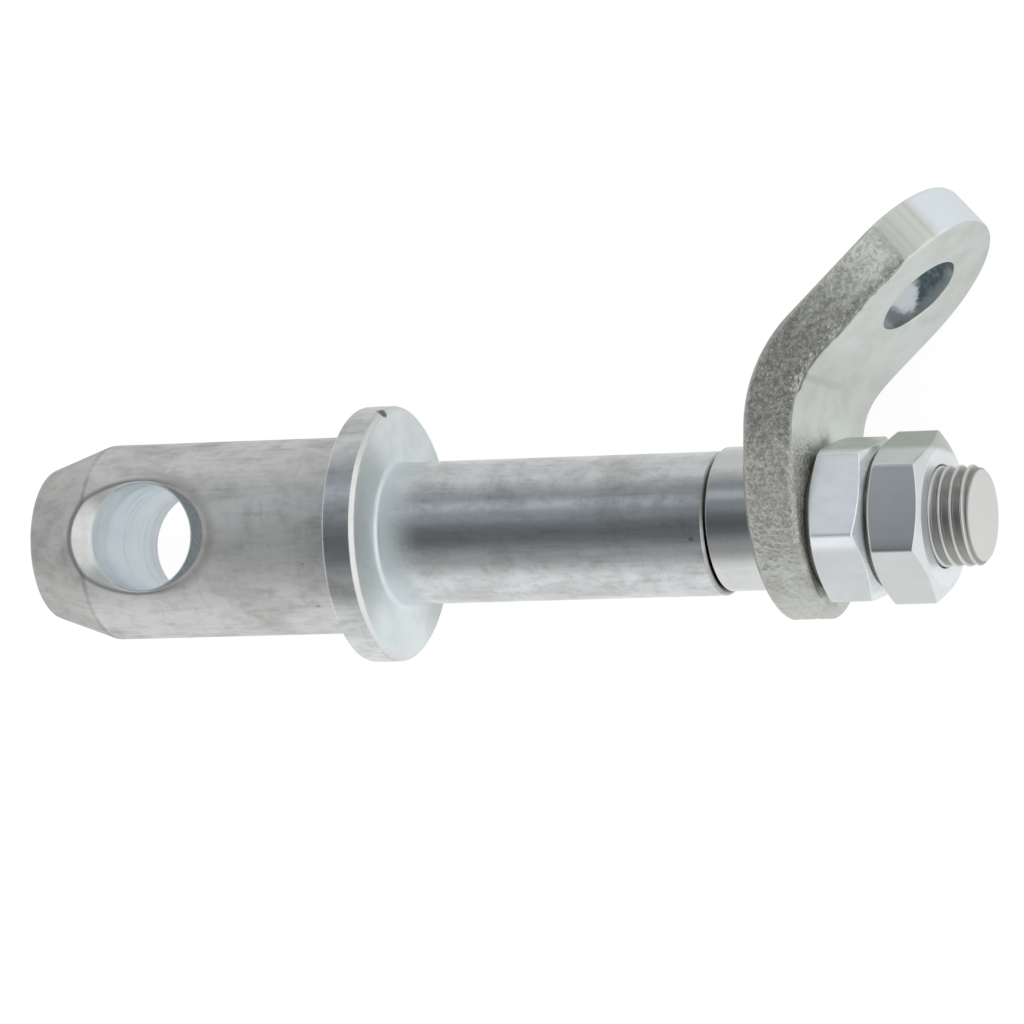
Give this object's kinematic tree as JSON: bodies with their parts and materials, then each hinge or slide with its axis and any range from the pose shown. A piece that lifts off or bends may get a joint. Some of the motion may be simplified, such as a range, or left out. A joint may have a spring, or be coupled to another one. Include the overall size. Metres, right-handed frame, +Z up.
{
  "type": "stabilizer pin",
  "caption": "Turned steel lower-link pin with a cross-drilled head, collar and plain shank, carrying a spacer and a bent eye lug clamped by thin locked nuts on its threaded end.",
  "frame": {"origin": "on the pin's axis, at the collar face that the shank starts from", "axes": "+X along the pin's axis from the nose towards the threaded end, +Y the side that the lug's arm leans to, +Z up, along the linch pin hole when it is upright"},
  "size_m": [0.1113, 0.0503, 0.0286],
  "materials": {
    "zinc_pin": "satin turned steel with bright zinc plating, lightly stained",
    "zinc_ring": "smooth bright zinc plating",
    "forged_lug": "zinc plated forging, smooth faces and rough speckled edges",
    "zinc_nut": "smooth bright zinc plating"
  },
  "bodies": {
    "root": {"pin_body": "zinc_pin", "spacer_ring": "zinc_ring", "bent_lug": "forged_lug", "clamp_nut": "zinc_nut", "lock_nut": "zinc_nut"}
  },
  "joints": []
}
